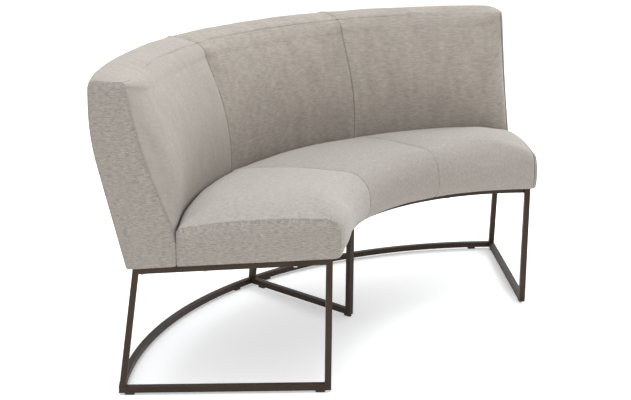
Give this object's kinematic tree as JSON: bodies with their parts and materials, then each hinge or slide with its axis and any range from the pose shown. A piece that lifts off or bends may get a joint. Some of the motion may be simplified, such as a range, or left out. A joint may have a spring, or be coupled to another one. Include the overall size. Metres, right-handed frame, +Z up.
{
  "type": "curved upholstered dining bench",
  "caption": "Quarter-round banquette bench: padded seat and high back in sewn sections, on welded square-tube steel loops joined by a curved floor stretcher",
  "frame": {"origin": "on the floor, under the middle of the bounding box", "axes": "+Z up, the open concave front faces -Y, +X to the right of someone looking at the front; X = 0 is the mirror plane"},
  "size_m": [1.6874, 0.7887, 0.81],
  "materials": {
    "bronze_powder_coat": "satin",
    "black_plastic": "matte",
    "zinc_steel": "satin",
    "birch_plywood": "matte",
    "upholstery_foam": "matte",
    "elastic_webbing": "matte",
    "dust_cloth": "matte",
    "greige_chenille": "matte"
  },
  "bodies": {
    "root": {"left_front_leg": "bronze_powder_coat", "left_rear_leg": "bronze_powder_coat", "left_floor_rail": "bronze_powder_coat", "left_top_rail": "bronze_powder_coat", "middle_front_leg": "bronze_powder_coat", "middle_rear_leg": "bronze_powder_coat", "middle_floor_rail": "bronze_powder_coat", "middle_top_rail": "bronze_powder_coat", "right_front_leg": "bronze_powder_coat", "right_rear_leg": "bronze_powder_coat", "right_floor_rail": "bronze_powder_coat", "right_top_rail": "bronze_powder_coat", "left_floor_stretcher": "bronze_powder_coat", "right_floor_stretcher": "bronze_powder_coat", "front_seat_rail": "bronze_powder_coat", "left_rear_seat_rail": "bronze_powder_coat", "right_rear_seat_rail": "bronze_powder_coat", "glides": "black_plastic", "frame_screws": "zinc_steel", "threaded_inserts": "zinc_steel", "dust_cover": "dust_cloth", "seat_front_apron": "birch_plywood", "seat_rear_apron": "birch_plywood", "seat_rib_left_end": "birch_plywood", "seat_rib_left": "birch_plywood", "seat_rib_middle": "birch_plywood", "seat_rib_right": "birch_plywood", "seat_rib_right_end": "birch_plywood", "seat_webbing": "elastic_webbing", "seat_foam_left": "upholstery_foam", "seat_foam_middle": "upholstery_foam", "seat_foam_right": "upholstery_foam", "seat_cover_left": "greige_chenille", "seat_cover_middle": "greige_chenille", "seat_cover_right": "greige_chenille", "seat_end_panel_left": "greige_chenille", "seat_end_panel_right": "greige_chenille", "back_post_left_end": "birch_plywood", "back_post_left": "birch_plywood", "back_post_middle": "birch_plywood", "back_post_right": "birch_plywood", "back_post_right_end": "birch_plywood", "back_panel": "birch_plywood", "back_top_rail": "birch_plywood", "back_foam_left": "upholstery_foam", "back_foam_middle": "upholstery_foam", "back_foam_right": "upholstery_foam", "back_cover_left": "greige_chenille", "back_cover_middle": "greige_chenille", "back_cover_right": "greige_chenille", "back_end_panel_left": "greige_chenille", "back_end_panel_right": "greige_chenille", "rear_cover": "greige_chenille"}
  },
  "joints": []
}
